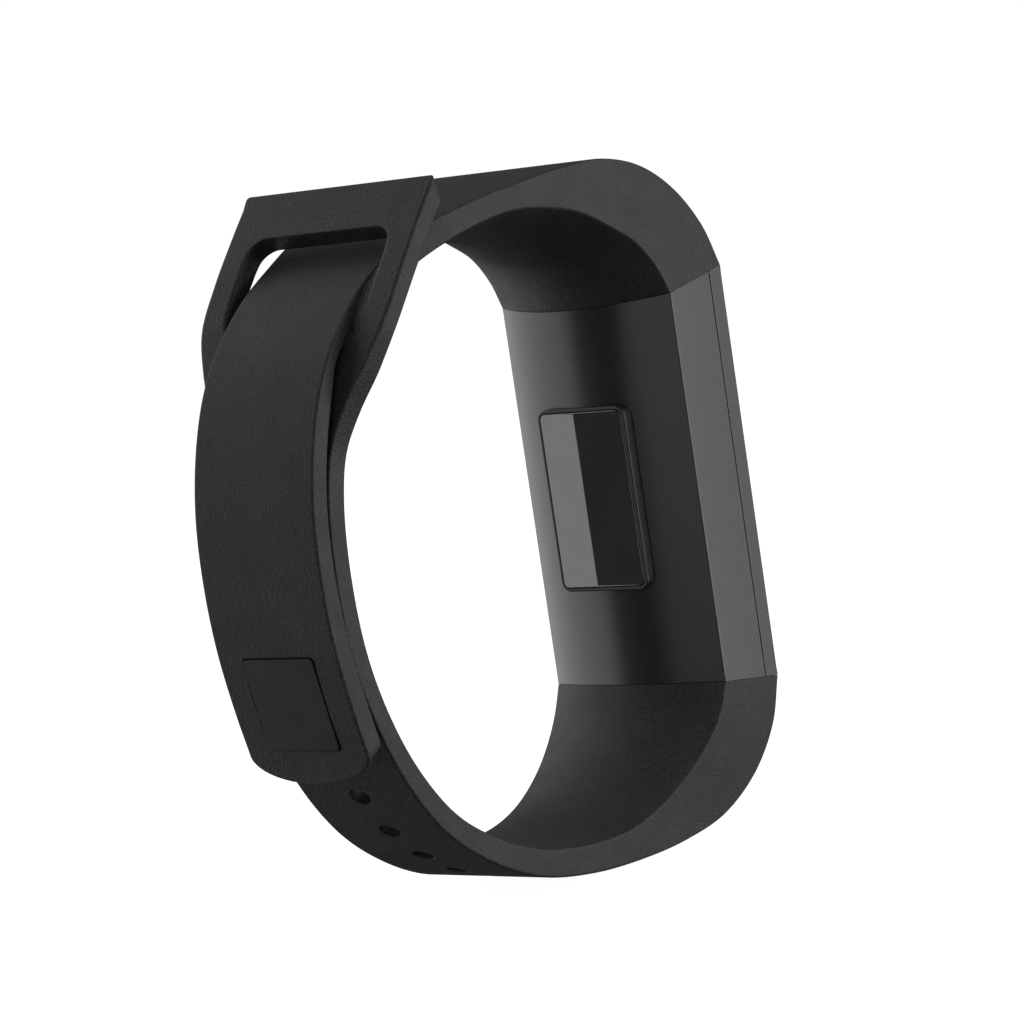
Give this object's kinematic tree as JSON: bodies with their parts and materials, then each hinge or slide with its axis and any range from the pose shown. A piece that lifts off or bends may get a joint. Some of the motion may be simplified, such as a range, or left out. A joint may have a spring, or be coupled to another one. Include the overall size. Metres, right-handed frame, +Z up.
{
  "type": "fitness tracker band",
  "caption": "Closed fitness tracker band: slim case with a display and a wrist sensor, two soft straps, a loop frame and a peg clasp.",
  "frame": {"origin": "middle of the wrist opening, where the wrist's axis crosses the case's mid plane", "axes": "+X out of the display, +Y across the band along the wrist, +Z up along the display's long side"},
  "size_m": [0.0616, 0.0216, 0.0666],
  "materials": {
    "strap_rubber": "matte black silicone with a fine moulded grain",
    "case_plastic": "satin dark grey moulded plastic, smoother than the straps",
    "clasp_plastic": "matte black plastic plate",
    "bezel_plastic": "semi-gloss black plastic",
    "dark_glass": "polished black-tinted glass",
    "display_black": "unlit display, near black",
    "steel": "plain machined steel",
    "seal_rubber": "soft black seal",
    "foam": "black closed-cell foam",
    "circuit_board": "green solder mask",
    "chip_plastic": "black moulded chip body",
    "led_resin": "pale green clear resin",
    "gold_contact": "gold plate",
    "battery_foil": "dull silver pouch foil",
    "flex_film": "amber polyimide film"
  },
  "bodies": {
    "band": {"upper_strap": "strap_rubber", "lower_strap": "strap_rubber", "rear_case": "case_plastic", "front_cover": "case_plastic", "display_lens": "dark_glass", "sensor_bezel": "bezel_plastic", "sensor_window": "dark_glass", "case_gasket": "seal_rubber", "display_foam_frame": "foam", "display_panel": "display_black", "display_flex": "flex_film", "main_board": "circuit_board", "processor_chip": "chip_plastic", "radio_chip": "chip_plastic", "motion_sensor_chip": "chip_plastic", "antenna_strip": "gold_contact", "battery": "battery_foil", "battery_pad": "foam", "motor_can": "steel", "light_barrier": "foam", "sensor_board": "circuit_board", "green_led_upper": "led_resin", "green_led_lower": "led_resin", "photodiode": "chip_plastic", "upper_tongue": "case_plastic", "plug_tongue": "bezel_plastic", "plug_contact_1": "gold_contact", "plug_contact_2": "gold_contact", "plug_contact_3": "gold_contact", "plug_contact_4": "gold_contact", "case_screw_1": "steel", "case_screw_2": "steel", "case_screw_3": "steel", "case_screw_4": "steel"},
    "tail_flap": {"tail_flap": "strap_rubber"},
    "tail_tip": {"tail_tip": "strap_rubber", "clasp_plate": "clasp_plastic", "clasp_peg": "steel"},
    "motor_rotor": {"motor_shaft": "steel", "motor_weight": "steel"}
  },
  "joints": [
    {"name": "tail_lift", "type": "hinge", "parent": "band", "child": "tail_flap", "pos_m": [-0.02551, 0, 0.01349], "axis": [0, 1, 0], "range_deg": [0, 60], "stiffness_Nm_per_rad": 0.012},
    {"name": "tip_peel", "type": "hinge", "parent": "tail_flap", "child": "tail_tip", "pos_m": [-0.02724, 0, 0.00258], "axis": [0, 1, 0], "range_deg": [0, 50], "stiffness_Nm_per_rad": 0.008},
    {"name": "motor_spin", "type": "hinge", "parent": "band", "child": "motor_rotor", "pos_m": [0.0261, 0, 0.0086], "axis": [0, 1, 0], "continuous": true}
  ]
}
